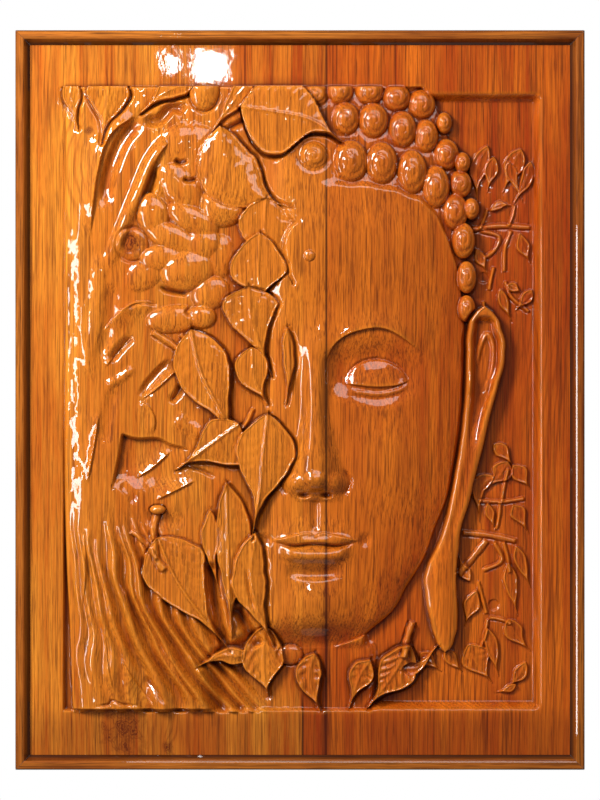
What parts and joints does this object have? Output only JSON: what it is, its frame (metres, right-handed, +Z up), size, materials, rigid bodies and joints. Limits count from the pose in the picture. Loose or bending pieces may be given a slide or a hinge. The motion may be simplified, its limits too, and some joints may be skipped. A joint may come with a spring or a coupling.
{
  "type": "carved wall panel",
  "caption": "Carved hardwood wall panel: half of a calm curled head with long ear lobe beside a leafy trunk, inside a flat border and a thin mitred frame.",
  "frame": {"origin": "centre of the flat back, which lies against the wall", "axes": "+Z up the panel, +X to the viewer's right, the carved front faces -Y"},
  "size_m": [0.712, 0.072, 0.925],
  "materials": {
    "golden_board": "golden teak under gloss lacquer",
    "red_board": "reddish teak under gloss lacquer",
    "frame_wood": "darker teak strips under gloss lacquer"
  },
  "bodies": {
    "root": {"left_plank": "golden_board", "middle_plank": "red_board", "right_plank": "red_board", "frame_top": "frame_wood", "frame_right": "frame_wood", "frame_bottom": "frame_wood", "frame_left": "frame_wood"}
  },
  "joints": []
}
